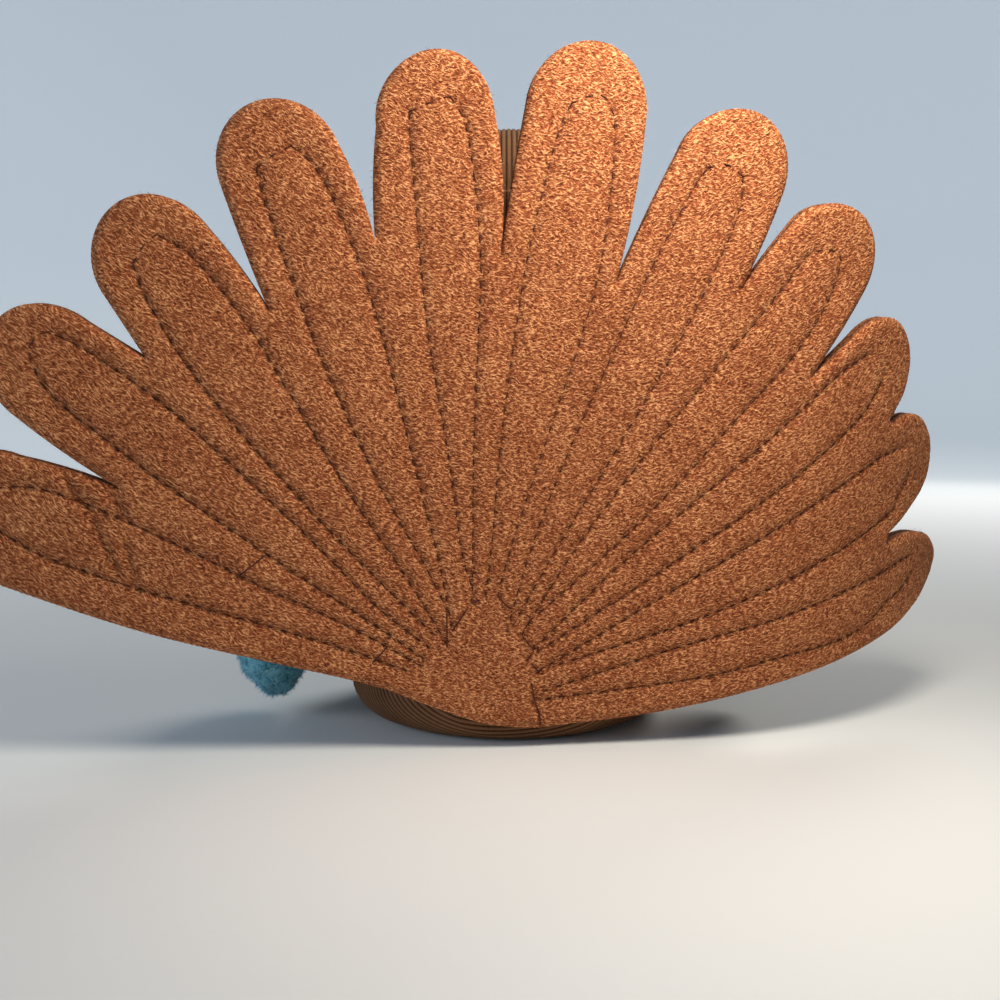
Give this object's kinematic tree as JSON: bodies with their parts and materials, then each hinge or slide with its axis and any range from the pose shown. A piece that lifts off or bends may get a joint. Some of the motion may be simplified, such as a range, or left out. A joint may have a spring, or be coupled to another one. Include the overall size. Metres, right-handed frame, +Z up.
{
  "type": "thanksgiving turkey figure",
  "caption": "Free-standing stuffed turkey with a quilted felt tail fan, corduroy body and head, felt face and fleece wings.",
  "frame": {"origin": "centre of the flat base that the figure stands on", "axes": "+Z up, the turkey faces -Y, +X is the turkey's own left"},
  "size_m": [0.2775, 0.1373, 0.1796],
  "materials": {
    "tail_felt": "matte, short mottled fibres",
    "corduroy": "matte, fine wales",
    "wing_fleece": "fuzzy, soft",
    "red_felt": "matte",
    "beak_felt": "matte",
    "fibre_fill": "fluffy",
    "pellet_bag": "plain weave",
    "paperboard": "matte",
    "eye_plastic": "polished",
    "washer_plastic": "moulded"
  },
  "bodies": {
    "body": {"base_panel": "corduroy", "body_cover": "corduroy", "head_cover": "corduroy", "base_board": "paperboard", "weight_bag": "pellet_bag", "body_stuffing": "fibre_fill", "head_stuffing": "fibre_fill", "left_eye": "eye_plastic", "right_eye": "eye_plastic", "left_eye_washer": "washer_plastic", "right_eye_washer": "washer_plastic", "beak": "beak_felt"},
    "tail": {"tail_back_panel": "tail_felt", "tail_front_panel": "tail_felt", "tail_batting": "fibre_fill"},
    "left_wing": {"left_wing_cover": "wing_fleece", "left_wing_stuffing": "fibre_fill"},
    "right_wing": {"right_wing_cover": "wing_fleece", "right_wing_stuffing": "fibre_fill"},
    "snood": {"snood": "red_felt"},
    "wattle": {"wattle": "red_felt"}
  },
  "joints": [
    {"name": "tail_lean", "type": "hinge", "parent": "body", "child": "tail", "pos_m": [0.0003, 0.04507, 0.00404], "axis": [-0.994, -0.1097, 0], "range_deg": [0, 25], "stiffness_Nm_per_rad": 0.6},
    {"name": "left_wing_flap", "type": "hinge", "parent": "body", "child": "left_wing", "pos_m": [0.0353, 0, 0.101], "axis": [-0.342, -0.9397, 0], "range_deg": [0, 60]},
    {"name": "right_wing_flap", "type": "hinge", "parent": "body", "child": "right_wing", "pos_m": [-0.0353, 0, 0.101], "axis": [-0.342, 0.9397, 0], "range_deg": [0, 30]},
    {"name": "snood_swing", "type": "hinge", "parent": "body", "child": "snood", "pos_m": [0, -0.04054, 0.12996], "axis": [0, -0.9903, -0.1392], "range_deg": [0, 50]},
    {"name": "wattle_swing", "type": "hinge", "parent": "body", "child": "wattle", "pos_m": [0, -0.0411, 0.1212], "axis": [-1, 0, 0], "range_deg": [-4, 60]}
  ]
}
